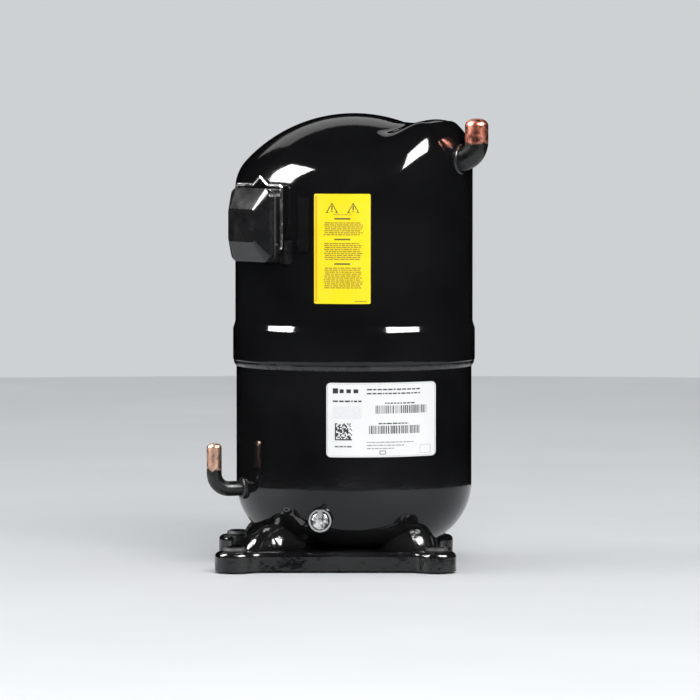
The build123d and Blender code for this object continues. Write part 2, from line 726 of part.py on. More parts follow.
def orbiting_scroll():
    """Drawn at rest, with the crank pin toward +Y."""
    top = THRUST_Z + ORBIT_PLATE_T
    body = disc(ORBIT_PLATE_R, THRUST_Z + RUN, top)
    body += wrap(True, top - 0.5, WRAP_H + 0.4)
    body += disc(HUB_R, FRAME_TOP + 2, THRUST_Z + 1)
    body -= disc(CRANK_PIN_R + BUSH_T, FRAME_TOP + 1, THRUST_Z)
    slot = 2 * (KEY / 2 + ORBIT + 0.3)
    for side in (-1, 1):
        y = side * OLDHAM_R
        body -= block(-slot / 2, slot / 2, y - slot / 2, y + slot / 2, THRUST_Z - 1, THRUST_Z + 6)
    return Pos(0, ORBIT, 0) * body


def oldham_ring():
    body = ring(60, 48, 273 + RUN, 280)
    for side in (-1, 1):
        x = side * OLDHAM_R
        body += block(x - KEY / 2, x + KEY / 2, -KEY / 2, KEY / 2, 268, 275)
        body += block(-KEY / 2, KEY / 2, x - KEY / 2, x + KEY / 2, 279, THRUST_Z + 5)
    return body


def main_frame():
    body = disc(100, FRAME_BOTTOM, FRAME_TOP - 4)
    pad = disc(UPPER_R - WALL, FRAME_BOTTOM, FRAME_TOP - 4) & block(90, 120, -16, 16, 0, 400)
    for turn in around(6, 10):
        body += turn * pad
    body += disc(30, 222, FRAME_BOTTOM)
    body += disc(40, FRAME_BOTTOM, THRUST_Z)
    body += ring(67, 39, FRAME_BOTTOM, 273)
    body += ring(FIXED_R, 75, FRAME_BOTTOM, THRUST_Z)
    body -= disc(SHAFT_R + BUSH_T, 200, FRAME_TOP + 1)
    body -= disc(25.5, FRAME_TOP, THRUST_Z + 1)
    for side in (-1, 1):
        x = side * OLDHAM_R
        reach = KEY / 2 + ORBIT + 0.5
        body -= block(x - reach, x + reach, -KEY / 2 - 0.04, KEY / 2 + 0.04, 267, 275)
    for turn in around(6, SCROLL_BOLT_START):
        body -= turn * disc(4, THRUST_Z - 15, THRUST_Z + 1, SCROLL_BOLT_R)
    for turn in stator_bolt_places():
        body -= turn * disc(4, FRAME_BOTTOM - 1, FRAME_BOTTOM + 14, STATOR_BOLT_R)
    for turn in around(6, BOX_ANGLE):
        body -= turn * disc(12, FRAME_BOTTOM - 1, FRAME_TOP, 99)
    return body


def suction_connector():
    """Steel pipe from the stub's inner end down to the port of the fixed scroll."""
    points = [(95, 0, SUCTION_AXIS_Z), (SUCTION_PORT_R, 0, SUCTION_AXIS_Z), (SUCTION_PORT_R, 0, FIXED_TOP_Z)]
    tube = bent_tube(points, 20, SUCTION_TUBE_R, SUCTION_BORE_R)
    return Rot(0, 0, SUCTION_ANGLE) * tube


def connector_o_ring():
    body = ring(12.6, SUCTION_TUBE_R, FIXED_TOP_Z + 3, FIXED_TOP_Z + 4.5)
    return Rot(0, 0, SUCTION_ANGLE) * Pos(SUCTION_PORT_R, 0, 0) * body


def suction_valve_cage():
    """Windowed cup under the pipe; the check disc works inside it."""
    cup = ring(10.6, 9.5, CAGE_BOTTOM, FIXED_TOP_Z - 2) + ring(10.6, 2.5, CAGE_BOTTOM, CAGE_BOTTOM + 1.5)
    cup += ring(11.6, 9.5, FIXED_TOP_Z - 2, FIXED_TOP_Z)
    for turn in around(4, 45):
        cup -= turn * block(5, 14, -3, 3, 302, 314)
    return Rot(0, 0, SUCTION_ANGLE) * Pos(SUCTION_PORT_R, 0, 0) * cup


def suction_valve_seat():
    """Ring pressed in the mouth of the cage; the disc closes up against it."""
    body = ring(9.5, 6.8, SEAT_Z, SEAT_Z + 2)
    return Rot(0, 0, SUCTION_ANGLE) * Pos(SUCTION_PORT_R, 0, 0) * body


def suction_valve_disc():
    body = disc(9.2, SEAT_Z - 2.2, SEAT_Z - 0.2)
    return Rot(0, 0, SUCTION_ANGLE) * Pos(SUCTION_PORT_R, 0, 0) * body


def suction_valve_spring():
    """Light coil that lifts the disc against its seat."""
    wire = 0.6
    low = CAGE_BOTTOM + 1.5 + wire + 0.1
    height = SEAT_Z - 2.2 - wire - 0.1 - low
    path = Helix(pitch=height / 5, height=height, radius=6.5)
    start = Plane(origin=path @ 0, z_dir=path % 0)
    coil = sweep(start * Circle(wire), path=path, is_frenet=True)
    return Rot(0, 0, SUCTION_ANGLE) * Pos(SUCTION_PORT_R, 0, low) * coil


def discharge_valve_disc():
    return disc(9, FIXED_TOP_Z, FIXED_TOP_Z + 1.5)


def discharge_valve_cage():
    body = ring(17, 9.6, FIXED_TOP_Z, FIXED_TOP_Z + 9) + disc(17, FIXED_TOP_Z + 8, FIXED_TOP_Z + 11)
    body -= disc(4, FIXED_TOP_Z + 7, FIXED_TOP_Z + 12)
    for turn in around(3):
        body -= turn * block(6, 20, -4.5, 4.5, FIXED_TOP_Z + 2, FIXED_TOP_Z + 8)
    flange = ring(22, 9.6, FIXED_TOP_Z, FIXED_TOP_Z + 2.5)
    for turn in around(3, 60):
        flange -= turn * disc(1.7, FIXED_TOP_Z - 1, FIXED_TOP_Z + 3, 19.3)
    return body + flange


def cage_screws():
    head = Pos(19.3, 0, FIXED_TOP_Z + 2.5) * hex_bolt(2.3, 2, 1.7, 2.5)
    return [turn * head for turn in around(3, 60)]


NODES = {
    "upper_shell": upper_shell,
    "lower_shell": lower_shell,
    "seam_weld": seam_weld,
    "base_plate": base_plate,
    "foot_grommets": foot_grommets,
    "foot_sleeves": foot_sleeves,
    "suction_stub": suction_stub,
    "suction_weld_ring": suction_weld_ring,
    "discharge_stub": discharge_stub,
    "discharge_weld_ring": discharge_weld_ring,
    "terminal_box": terminal_box,
    "terminal_gasket": terminal_gasket,
    "terminal_cover": terminal_cover,
    "terminal_header": terminal_header,
    "terminal_seals": terminal_seals,
    "terminal_pins": terminal_pins,
    "lead_plug": lead_plug,
    "motor_leads": motor_leads,
    "wire_bail": wire_bail,
    "earth_tab": earth_tab,
    "earth_screw": earth_screw,
    "heater_well": heater_well,
    "crankcase_heater": crankcase_heater,
    "heater_clip": heater_clip,
    "warning_label": lambda: label(UPPER_R, -37.5, 15.5, 254.2, 357.4, 1.5),
    "rating_label": lambda: label(LOWER_R, -26, 77, 110, 180, 4),
    "stator_core": stator_core,
    "stator_windings": stator_windings,
    "thermal_protector": thermal_protector,
    "stator_bolts": stator_bolts,
    "frame_spacers": frame_spacers,
    "lower_bearing_bracket": lower_bearing_bracket,
    "lower_bearing_bush": lambda: bush(SHAFT_R - 3, 68, 90),
    "main_frame": main_frame,
    "main_bearing_bush": lambda: bush(SHAFT_R, 222, FRAME_TOP),
    "crankshaft": crankshaft,
    "rotor_core": rotor_core,
    "rotor_end_rings": rotor_end_rings,
    "upper_counterweight": lambda: counterweight(STATOR_Z[1] + 6, STATOR_Z[1] + 16, -1),
    "lower_counterweight": lambda: counterweight(STATOR_Z[0] - 14, STATOR_Z[0] - 6, 1),
    "oil_pickup": oil_pickup,
    "orbiting_scroll": orbiting_scroll,
    "orbiting_bush": lambda: Pos(0, ORBIT, 0) * bush(CRANK_PIN_R, FRAME_TOP + 2, THRUST_Z),
    "oldham_ring": oldham_ring,
    "fixed_scroll": fixed_scroll,
    "scroll_bolts": scroll_bolts,
    "suction_connector": suction_connector,
    "connector_o_ring": connector_o_ring,
    "suction_valve_cage": suction_valve_cage,
    "suction_valve_seat": suction_valve_seat,
    "suction_valve_disc": suction_valve_disc,
    "suction_valve_spring": suction_valve_spring,
    "discharge_valve_disc": discharge_valve_disc,
    "discharge_valve_cage": discharge_valve_cage,
    "cage_screws": cage_screws,
}


def main():
    os.makedirs("parts", exist_ok=True)
    for name, build in NODES.items():
        made = build()
        pieces = made if isinstance(made, list) else [made]
        solids = [solid for piece in pieces for solid in piece.solids()]
        node = Pos(SHELL_X, 0, 0) * Compound(children=solids)
        node.label = name
        export_step(node, f"parts/{name}.step")


main()
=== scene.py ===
"""Looks of the hermetic compressor: drawn shells, welds, labels, stubs and the studio round them."""
import json
import random
from math import asin, atan2, cos, degrees, hypot, pi, radians, sin, sqrt

import bmesh
import bpy
from mathutils import Matrix, Vector

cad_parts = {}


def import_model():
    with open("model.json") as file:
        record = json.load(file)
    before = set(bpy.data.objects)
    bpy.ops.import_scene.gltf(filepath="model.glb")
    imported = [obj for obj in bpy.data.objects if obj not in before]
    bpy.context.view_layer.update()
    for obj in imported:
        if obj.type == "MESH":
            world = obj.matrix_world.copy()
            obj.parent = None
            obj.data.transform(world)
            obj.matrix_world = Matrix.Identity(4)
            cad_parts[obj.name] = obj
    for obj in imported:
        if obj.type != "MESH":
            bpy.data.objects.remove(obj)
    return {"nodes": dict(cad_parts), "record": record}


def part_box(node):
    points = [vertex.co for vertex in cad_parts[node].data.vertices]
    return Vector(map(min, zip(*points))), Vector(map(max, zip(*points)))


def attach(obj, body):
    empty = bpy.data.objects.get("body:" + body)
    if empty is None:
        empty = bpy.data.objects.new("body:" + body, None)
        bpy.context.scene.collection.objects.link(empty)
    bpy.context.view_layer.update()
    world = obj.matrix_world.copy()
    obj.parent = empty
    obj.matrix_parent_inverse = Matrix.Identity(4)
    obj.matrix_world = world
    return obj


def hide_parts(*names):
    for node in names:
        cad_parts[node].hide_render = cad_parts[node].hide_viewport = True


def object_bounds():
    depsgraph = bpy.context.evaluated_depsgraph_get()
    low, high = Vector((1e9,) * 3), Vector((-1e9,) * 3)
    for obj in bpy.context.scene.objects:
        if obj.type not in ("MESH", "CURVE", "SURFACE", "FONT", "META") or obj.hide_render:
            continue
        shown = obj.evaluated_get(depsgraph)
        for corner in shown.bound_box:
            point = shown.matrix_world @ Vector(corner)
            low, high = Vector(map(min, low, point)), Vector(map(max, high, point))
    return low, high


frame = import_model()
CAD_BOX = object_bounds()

NODES = frame["nodes"]
MM = 0.001


# --- what the frame says ---------------------------------------------------------------------

def middle(node):
    """Middle of a CAD node's box."""
    low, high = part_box(node)
    return (low + high) / 2


SHELL_X = middle("lower_shell").x
LOWER_R = (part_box("lower_shell")[1].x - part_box("lower_shell")[0].x) / 2
SUCTION_MOUTH_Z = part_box("suction_stub")[1].z
DISCHARGE_MOUTH_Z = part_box("discharge_stub")[1].z
CROWN_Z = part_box("upper_shell")[1].z

# --- dimensions of what is drawn here --------------------------------------------------------

WALL = 3.2 * MM
UPPER_R = LOWER_R + 1.0 * MM
BAND_R = LOWER_R + WALL
KNUCKLE_R = 40.0 * MM
KNUCKLE_Z = 359.0 * MM
CROWN_R = 140.0 * MM
CROWN_CENTRE_Z = CROWN_Z - CROWN_R
BOWL_KNUCKLE_R = 60.0 * MM
BOWL_KNUCKLE_Z = 79.0 * MM
DISH_R = 220.0 * MM

HUMP_TURN = -27.0
HUMP_OUT = 82.2 * MM
HUMP_R = 31.0 * MM
HUMP_SPOT = Vector((HUMP_OUT * cos(radians(HUMP_TURN)), HUMP_OUT * sin(radians(HUMP_TURN)), 390.0 * MM))
HUMP_BLEND_OUT = 6.0 * MM
HUMP_BLEND_IN = 26.0 * MM
HUMP_FOOT_Z = 330.0 * MM
HUMP_FOOT_SPAN = 30.0 * MM
HUMP_FOOT_SINK = 20.0 * MM

SHOULDER_LIFT = 31.0 * MM
SHOULDER_FULL = 18.0
SHOULDER_FADE = 38.0
SHOULDER_FROM_R = 62.0 * MM
SHOULDER_SPAN_R = 38.0 * MM

HEADER_TURN = 219.0
HEADER_HOLE_R = 17.1 * MM
SUCTION_TUBE = (11.1 * MM, 9.6 * MM)
DISCHARGE_TUBE = (7.1 * MM, 6.4 * MM)
SUCTION_BARE = 16.0 * MM
DISCHARGE_BARE = 21.0 * MM

UPPER_COLUMNS = 288
LOWER_COLUMNS = 360
PLUG_COLUMNS = 64
FLOOR_COLUMNS = 256
TRACE_FROM = 170.0 * MM
TRACE_STEPS = 16
PRINT_PROUD = 0.31 * MM

CAMERA_DISTANCE = 6.0
CAMERA_RISE = radians(3.2)
CAMERA_LENS = 322.9
SHEET_R = 0.9
FLOOR_R = 3.0


# --- material building blocks ----------------------------------------------------------------

class Shader:
    """A Principled material and the few node chains that the finishes share."""

    def __init__(self, name, **sockets):
        self.material = bpy.data.materials.new(name)
        self.material.use_nodes = True
        self.nodes = self.material.node_tree.nodes
        self.links = self.material.node_tree.links
        self.bsdf = self.nodes["Principled BSDF"]
        self.where = self.nodes.new("ShaderNodeTexCoord").outputs["Object"]
        for socket, value in sockets.items():
            self.bsdf.inputs[socket.replace("_", " ")].default_value = value

    def link(self, source, socket):
        """Drives one of the Principled sockets."""
        self.links.new(source, self.bsdf.inputs[socket])

    def stretch(self, x, y, z):
        """Object coordinates scaled along each axis."""
        mapping = self.nodes.new("ShaderNodeMapping")
        mapping.inputs["Scale"].default_value = (x, y, z)
        self.links.new(self.where, mapping.inputs["Vector"])
        return mapping.outputs["Vector"]

    def noise(self, scale, detail=3.0, rough=0.55, where=None):
        """Noise over the piece, scale in patches per metre."""
        texture = self.nodes.new("ShaderNodeTexNoise")
        texture.inputs["Scale"].default_value = scale
        texture.inputs["Detail"].default_value = detail
        texture.inputs["Roughness"].default_value = rough
        self.links.new(where or self.where, texture.inputs["Vector"])
        return texture.outputs["Fac"]

    def spread(self, source, low, high, from_low=0.3, from_high=0.7):
        """Stretches the middle of a noise over low to high."""
        span = self.nodes.new("ShaderNodeMapRange")
        span.inputs["From Min"].default_value = from_low
        span.inputs["From Max"].default_value = from_high
        span.inputs["To Min"].default_value = low
        span.inputs["To Max"].default_value = high
        self.links.new(source, span.inputs["Value"])
        return span.outputs["Result"]

    def blend(self, factor, first, second):
        """Mixes two colours, each a tuple or a socket."""
        mix = self.nodes.new("ShaderNodeMix")
        mix.data_type = "RGBA"
        for socket, value in ((mix.inputs[6], first), (mix.inputs[7], second)):
            if isinstance(value, tuple):
                socket.default_value = (*value, 1.0)
            else:
                self.links.new(value, socket)
        self.links.new(factor, mix.inputs[0])
        return mix.outputs[2]

    def two_tone(self, scale, first, second):
        """Base colour that drifts between two tones in soft patches."""
        self.link(self.blend(self.spread(self.noise(scale, 4), 0, 1), first, second), "Base Color")

    def patchy_roughness(self, scale, low, high, detail=4, rough=0.55):
        """Roughness that wanders between low and high."""
        self.link(self.spread(self.noise(scale, detail, rough), low, high), "Roughness")

    def maths(self, operation, first, second):
        """One arithmetic step on numbers or sockets."""
        node = self.nodes.new("ShaderNodeMath")
        node.operation = operation
        for socket, value in zip(node.inputs, (first, second)):
            if isinstance(value, (int, float)):
                socket.default_value = value
            else:
                self.links.new(value, socket)
        return node.outputs[0]

    def bump(self, *layers):
        """layers: (height source, strength, depth in metres), laid one over the other."""
        under = None
        for source, strength, depth in layers:
            node = self.nodes.new("ShaderNodeBump")
            node.inputs["Strength"].default_value = strength
            node.inputs["Distance"].default_value = depth
            self.links.new(source, node.inputs["Height"])
            if under is not None:
                self.links.new(under, node.inputs["Normal"])
            under = node.outputs["Normal"]
        self.link(under, "Normal")

    def height(self):
        """The z coordinate over the piece."""
        split = self.nodes.new("ShaderNodeSeparateXYZ")
        self.links.new(self.where, split.inputs["Vector"])
        return split.outputs["Z"]


def black_enamel(name):
    """Gloss black enamel on steel: orange peel, faint waviness, dust in the low places."""
    s = Shader(name, Metallic=0.0, IOR=1.42)
    dust = s.noise(170, 5, 0.7)
    s.two_tone(11, (0.0035, 0.0035, 0.004), (0.009, 0.009, 0.0095))
    smear = s.noise(26, 5, 0.6, s.stretch(1, 1, 0.35))
    rough = s.maths("ADD", s.spread(smear, 0.05, 0.11), s.spread(dust, 0, 0.04, 0.55, 0.8))
    s.link(rough, "Roughness")
    s.bump((s.noise(14, 2), 0.35, 0.0014), (s.noise(60, 2), 0.2, 0.0005), (s.noise(420, 2), 0.1, 0.0002))
    return s.material


def pressed_black(name):
    """Thicker dipped enamel on pressed plate, with drawing waves and paint runs."""
    s = Shader(name, IOR=1.46)
    s.two_tone(16, (0.003, 0.003, 0.0035), (0.012, 0.012, 0.0125))
    s.patchy_roughness(30, 0.08, 0.24, 5, 0.6)
    runs = s.noise(24, 3, 0.5, s.stretch(1, 1, 0.5))
    s.bump((runs, 1.0, 0.006), (s.noise(70, 3, 0.6), 0.6, 0.0012), (s.noise(380, 2), 0.12, 0.0002))
    return s.material


def weld_bead(name):
    """Painted bead with the ripples of a travelling torch."""
    s = Shader(name, IOR=1.5)
    s.two_tone(60, (0.008, 0.008, 0.0085), (0.03, 0.03, 0.031))
    s.patchy_roughness(90, 0.12, 0.3)
    s.bump((s.noise(150, 3, 0.5, s.stretch(1, 1, 0.4)), 0.8, 0.0016), (s.noise(500, 2), 0.2, 0.0003))
    return s.material


def moulding(name, colour, second, rough=0.42, grain=900):
    """Fine-textured moulded plastic or thermoset."""
    s = Shader(name, IOR=1.49)
    s.two_tone(22, colour, second)
    s.patchy_roughness(60, rough - 0.07, rough + 0.08)
    s.bump((s.noise(grain, 2), 0.22, 0.0002), (s.noise(35, 2), 0.15, 0.0008))
    return s.material


def rubber(name):
    """Matt black rubber."""
    s = Shader(name, IOR=1.45)
    s.two_tone(40, (0.012, 0.012, 0.012), (0.03, 0.029, 0.028))
    s.patchy_roughness(90, 0.6, 0.82)
    s.bump((s.noise(700, 3), 0.35, 0.0002))
    return s.material


def metal(name, colour, second, rough=0.3, brushed=(1, 1, 1), scale=120, depth=0.0001):
    """Bare metal with a brushed or cast grain."""
    s = Shader(name, Metallic=1.0)
    grain = s.noise(scale, 6, 0.65, s.stretch(*brushed))
    s.two_tone(30, colour, second)
    s.link(s.spread(grain, rough - 0.08, rough + 0.12), "Roughness")
    s.bump((grain, 0.25, depth))
    return s.material


def stained_metal(name):
    """Bright metal with overspray and flux left on it in patches."""
    s = Shader(name, Metallic=0.8)
    patches = s.spread(s.noise(190, 5, 0.6), 0, 1, 0.42, 0.58)
    s.link(s.blend(patches, (0.03, 0.03, 0.03), (0.8, 0.8, 0.79)), "Base Color")
    s.patchy_roughness(150, 0.22, 0.5)
    s.bump((s.noise(260, 4, 0.6), 0.8, 0.0008))
    return s.material


def cast_iron(name):
    """Sand-cast grey iron."""
    s = Shader(name, Metallic=0.85)
    s.link(s.blend(s.spread(s.noise(50, 5), 0, 1), (0.12, 0.12, 0.125), (0.24, 0.235, 0.23)), "Base Color")
    s.patchy_roughness(150, 0.42, 0.66)
    s.bump((s.noise(600, 4, 0.7), 0.4, 0.0003))
    return s.material


def part_painted_copper(name, colour, second, edge_z):
    """Copper tube, bare at its top and sprayed black below edge_z."""
    s = Shader(name, IOR=1.5)
    ragged = s.spread(s.noise(160, 3), -0.0016, 0.0016)
    lift = s.maths("ADD", s.height(), ragged)
    bare = s.spread(lift, 0, 1, edge_z - 0.0008, edge_z + 0.0012)
    stain = s.spread(s.noise(75, 5, 0.65, s.stretch(1, 1, 0.5)), 0, 1, 0.35, 0.7)
    copper = s.blend(stain, colour, second)
    s.link(s.blend(bare, (0.006, 0.006, 0.006), copper), "Base Color")
    s.link(bare, "Metallic")
    s.patchy_roughness(200, 0.2, 0.42)
    s.bump((s.noise(320, 3), 0.2, 0.0002))
    return s.material


def film(name, colour, second, rough=0.34):
    """Printed label film."""
    s = Shader(name, IOR=1.46)
    s.two_tone(18, colour, second)
    s.patchy_roughness(60, rough - 0.06, rough + 0.1)
    s.bump((s.noise(60, 2), 0.12, 0.0003))
    return s.material


def ink(name, colour):
    """Thin print that lets the film's sheen through."""
    s = Shader(name, IOR=1.46)
    worn = s.spread(s.noise(900, 3, 0.6), 0, 0.35, 0.45, 0.75)
    paler = tuple(min(1.0, c * 1.5 + 0.02) for c in colour)
    s.link(s.blend(worn, colour, paler), "Base Color")
    s.patchy_roughness(60, 0.3, 0.45)
    s.bump((s.noise(60, 2), 0.1, 0.0003))
    return s.material


def glass(name):
    """Greenish fused glass."""
    s = Shader(name, IOR=1.5, Transmission_Weight=0.4)
    s.link(s.blend(s.spread(s.noise(300, 3), 0, 1), (0.1, 0.22, 0.18), (0.2, 0.35, 0.3)), "Base Color")
    s.patchy_roughness(200, 0.08, 0.2, 3)
    s.bump((s.noise(240, 2), 0.15, 0.0002))
    return s.material


def laminations(name):
    """Edges of a stack of thin punched sheets."""
    s = Shader(name, Metallic=0.9)
    layers = s.noise(900, 2, 0.5, s.stretch(0.02, 0.02, 1))
    sheet = s.spread(layers, 0, 1, 0.35, 0.65)
    s.link(s.blend(sheet, (0.08, 0.085, 0.1), (0.25, 0.25, 0.26)), "Base Color")
    s.patchy_roughness(120, 0.35, 0.55, 3)
    s.bump((layers, 0.4, 0.0003))
    return s.material


def windings(name):
    """Varnished copper strands."""
    s = Shader(name, Metallic=0.6, Coat_Weight=0.6, Coat_Roughness=0.15)
    strands = s.noise(520, 3, 0.6, s.stretch(1, 1, 0.12))
    s.link(s.blend(s.spread(strands, 0, 1), (0.16, 0.045, 0.015), (0.5, 0.19, 0.07)), "Base Color")
    s.link(s.spread(strands, 0.25, 0.5), "Roughness")
    s.bump((strands, 0.6, 0.0006))
    return s.material


FINISHES = {
    "gloss_black_shell": black_enamel("gloss_black_shell"),
    "black_base": pressed_black("black_base"),
    "weld_black": weld_bead("weld_black"),
    "black_moulding": moulding("black_moulding", (0.005, 0.005, 0.0055), (0.011, 0.011, 0.012), 0.24),
    "dark_plastic": moulding("dark_plastic", (0.03, 0.03, 0.03), (0.06, 0.06, 0.06)),
    "lead_insulation": moulding("lead_insulation", (0.4, 0.05, 0.03), (0.5, 0.09, 0.05)),
    "rubber_black": rubber("rubber_black"),
    "zinc_steel": metal("zinc_steel", (0.5, 0.5, 0.47), (0.66, 0.66, 0.62), 0.32),
    "spring_steel": metal("spring_steel", (0.6, 0.6, 0.6), (0.75, 0.75, 0.74), 0.2),
    "header_steel": metal("header_steel", (0.4, 0.4, 0.38), (0.55, 0.54, 0.5), 0.35),
    "heater_metal": metal("heater_metal", (0.7, 0.7, 0.7), (0.85, 0.85, 0.84), 0.25),
    "cast_aluminium": metal("cast_aluminium", (0.55, 0.55, 0.56), (0.7, 0.7, 0.7), 0.4, scale=300),
    "ground_steel": metal("ground_steel", (0.45, 0.45, 0.46), (0.6, 0.6, 0.6), 0.2, (1, 1, 12)),
    "bearing_bronze": metal("bearing_bronze", (0.45, 0.3, 0.14), (0.6, 0.42, 0.2), 0.35),
    "iron_grey": cast_iron("iron_grey"),
    "lamination_steel": laminations("lamination_steel"),
    "copper_winding": windings("copper_winding"),
    "seal_glass": glass("seal_glass"),
    "yellow_label": film("yellow_label", (0.92, 0.7, 0.0), (0.96, 0.78, 0.002)),
    "white_label": film("white_label", (0.78, 0.78, 0.77), (0.84, 0.84, 0.83)),
}
SPECIAL = {
    "suction_stub": part_painted_copper(
        "suction_copper", (0.6, 0.19, 0.13), (0.82, 0.36, 0.26), SUCTION_MOUTH_Z - SUCTION_BARE),
    "discharge_stub": part_painted_copper(
        "discharge_copper", (0.85, 0.47, 0.32), (0.95, 0.66, 0.52), DISCHARGE_MOUTH_Z - DISCHARGE_BARE),
    "crankcase_heater": stained_metal("stained_heater_end"),
}


def paint(piece, material):
    """Gives the piece this one material."""
    piece.data.materials.clear()
    piece.data.materials.append(material)


def finish_cad_nodes():
    """Every CAD node gets its slot's finish, or one of its own."""
    for entry in frame["record"]["subparts"]:
        node = entry["node"]
        paint(NODES[node], SPECIAL.get(node) or FINISHES[entry["material_slot"]])
        for polygon in NODES[node].data.polygons:
            polygon.use_smooth = True


def round_edges(node, width, angle=25):
    """Softens a CAD node's sharp edges with weld and bevel modifiers."""
    weld = NODES[node].modifiers.new("weld", "WELD")
    weld.merge_threshold = 0.01 * MM
    bevel = NODES[node].modifiers.new("round", "BEVEL")
    bevel.width = width
    bevel.segments = 3
    bevel.limit_method = "ANGLE"
    bevel.angle_limit = radians(angle)
    bevel.harden_normals = False


# --- shapes drawn here -----------------------------------------------------------------------

def mesh_object(name, points, faces, material):
    """A new object in the scene, with one material."""
    mesh = bpy.data.meshes.new(name)
    mesh.from_pydata([tuple(p) for p in points], [], faces)
    mesh.validate()
    made = bpy.data.objects.new(name, mesh)
    bpy.context.scene.collection.objects.link(made)
    paint(made, material)
    return made


def add_piece(name, points, faces, material, stands_for=None, smooth=True):
    """A visible piece that rides on the housing."""
    piece = mesh_object(name, points, faces, material)
    for polygon in piece.data.polygons:
        polygon.use_smooth = smooth
    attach(piece, "housing")
    if stands_for:
        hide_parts(stands_for)
    return piece


def rounded_least(first, second, reach):
    """The smaller distance, rounded off where the two come within reach of each other."""
    share = max(reach - abs(first - second), 0.0) / reach
    return min(first, second) - share * share * reach / 4


def dome_gap(r, z):
    """Distance outside the plain upper shell."""
    centre_r = UPPER_R - KNUCKLE_R
    if z < KNUCKLE_Z:
        return r - UPPER_R
    if r * (KNUCKLE_Z - CROWN_CENTRE_Z) < centre_r * (z - CROWN_CENTRE_Z):
        return hypot(r, z - CROWN_CENTRE_Z) - CROWN_R
    return hypot(r - centre_r, z - KNUCKLE_Z) - KNUCKLE_R


def hump_gap(point):
    """Distance outside the rounded post that carries the suction stub."""
    flat = hypot(point.x - HUMP_SPOT.x, point.y - HUMP_SPOT.y)
    return hypot(flat, max(point.z - HUMP_SPOT.z, 0.0)) - HUMP_R


def ease(share):
    """Smooth step from 0 to 1."""
    share = min(max(share, 0.0), 1.0)
    return share * share * (3 - 2 * share)


def shoulder_lift(point):
    """How much higher the knuckle starts on the hump's side of the shell."""
    turn = abs(degrees(atan2(point.y, point.x)) - HUMP_TURN)
    near = 1 - ease((turn - SHOULDER_FULL) / SHOULDER_FADE)
    return SHOULDER_LIFT * near * ease((hypot(point.x, point.y) - SHOULDER_FROM_R) / SHOULDER_SPAN_R)


def shell_gap(point, thinner):
    """The two together, blended widely on the crown's side and tightly on the outer side."""
    plain = dome_gap(hypot(point.x, point.y), point.z - shoulder_lift(point)) + thinner
    offset = Vector((point.x - HUMP_SPOT.x, point.y - HUMP_SPOT.y))
    inward = -Vector((HUMP_SPOT.x, HUMP_SPOT.y)).normalized()
    facing = ease(0.5 + 0.5 * offset.dot(inward) / HUMP_R)
    above_foot = min(max((point.z - HUMP_FOOT_Z) / HUMP_FOOT_SPAN, 0.0), 1.0)
    blend = (HUMP_BLEND_OUT + (HUMP_BLEND_IN - HUMP_BLEND_OUT) * facing) * max(above_foot, 0.05)
    hump = hump_gap(point) + thinner + (1 - above_foot) * HUMP_FOOT_SINK
    return rounded_least(plain, hump, blend)


def reach_of(start, heading, thinner):
    """How far along heading the shell's surface is, closing in from outside."""
    along = TRACE_FROM
    for _ in range(TRACE_STEPS):
        along -= shell_gap(start + heading * along, thinner)
    return along


def upper_shell_points(thinner, columns):
    """Rings of points from the crown down to the top of the band."""
    rows = []
    heart = Vector((0, 0, HUMP_FOOT_Z))
    for i in range(1, 91):
        lean = radians(i)
        ring = []
        for j in range(columns):
            turn = 2 * pi * j / columns
            heading = Vector((sin(lean) * cos(turn), sin(lean) * sin(turn), cos(lean)))
            ring.append(heart + heading * reach_of(heart, heading, thinner))
        rows.append(ring)
    return rows


def turned_ring(radius, z, columns):
    """Level ring of points round the origin's axis."""
    steps = (2 * pi * j / columns for j in range(columns))
    return [Vector((radius * cos(a), radius * sin(a), z)) for a in steps]


def skin(rows, closed_top=None):
    """Points and quads over rings that all have the same count."""
    columns = len(rows[0])
    points = [p + Vector((SHELL_X, 0, 0)) for ring in rows for p in ring]
    faces = []
    for i in range(len(rows) - 1):
        for j in range(columns):
            k = (j + 1) % columns
            a, b = i * columns, (i + 1) * columns
            faces.append((a + j, b + j, b + k, a + k))
    if closed_top is not None:
        points.append(closed_top + Vector((SHELL_X, 0, 0)))
        tip = len(points) - 1
        faces += [(tip, j, (j + 1) % columns) for j in range(columns)]
    return points, faces


def upper_shell():
    """Crown, hump, side wall and the flared band in one smooth pressing."""
    rows = upper_shell_points(0.0, UPPER_COLUMNS)
    rows += [turned_ring(UPPER_R, z * MM, UPPER_COLUMNS) for z in (328, 310, 280, 250, 236)]
    lap_r = LOWER_R + 0.05 * MM
    band = (
        (UPPER_R, 233.8), (UPPER_R + 0.05 * MM, 233.0), (UPPER_R + 0.4 * MM, 231.9),
        (BAND_R - 0.5 * MM, 227.5), (BAND_R - 0.1 * MM, 226.3), (BAND_R, 225.2), (BAND_R, 215.0),
        (BAND_R, 204.0), (BAND_R, 197.4), (BAND_R - 0.3 * MM, 196.4), (BAND_R - 1.0 * MM, 196.0),
        (lap_r, 196.0), (lap_r, 222.0), (UPPER_R - WALL, 224.5), (UPPER_R - WALL, 328.0),
    )
    rows += [turned_ring(r, z * MM, UPPER_COLUMNS) for r, z in band]
    rows += upper_shell_points(WALL, UPPER_COLUMNS)[::-1]
    points, faces = skin(rows, Vector((0, 0, CROWN_Z)))
    last = (len(rows) - 1) * UPPER_COLUMNS
    tip = len(points)
    points.append(Vector((SHELL_X, 0, CROWN_Z - WALL)))
    faces += [(tip, last + (j + 1) % UPPER_COLUMNS, last + j) for j in range(UPPER_COLUMNS)]
    shell = add_piece("drawn_upper_shell", points, faces, FINISHES["gloss_black_shell"],
                      stands_for="upper_shell")
    pierce(shell, middle("terminal_header"), HEADER_TURN, HEADER_HOLE_R, 30 * MM)


